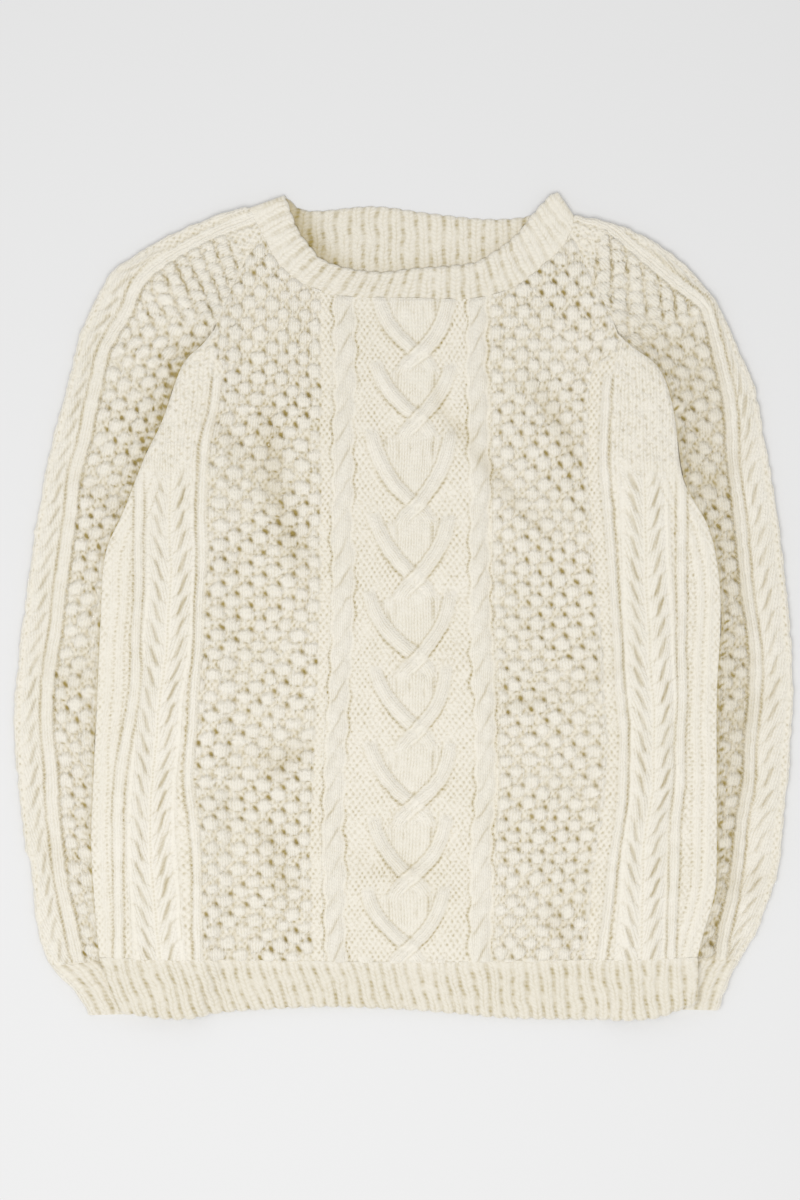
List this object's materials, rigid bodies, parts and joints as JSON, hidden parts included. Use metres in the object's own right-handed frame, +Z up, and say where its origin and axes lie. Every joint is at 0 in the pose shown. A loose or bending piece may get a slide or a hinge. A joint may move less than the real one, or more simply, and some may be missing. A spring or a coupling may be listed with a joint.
{
  "type": "cable knit sweater",
  "caption": "Hand-knitted raglan pullover with cables and bobbles, laid flat on its back with its sleeves tucked under its sides.",
  "frame": {"origin": "on the surface that the garment lies on, under the middle of its outline", "axes": "+Y from the hem to the neck, +Z up out of the front, +X to the right as seen from above"},
  "size_m": [0.6698, 0.7146, 0.0189],
  "materials": {
    "wool": "matte undyed wool"
  },
  "bodies": {
    "root": {"front": "wool", "back": "wool", "sleeve_left": "wool", "sleeve_right": "wool", "neckband": "wool", "hem_rib_front": "wool", "hem_rib_back": "wool", "cuff_left": "wool", "cuff_right": "wool"}
  },
  "joints": []
}
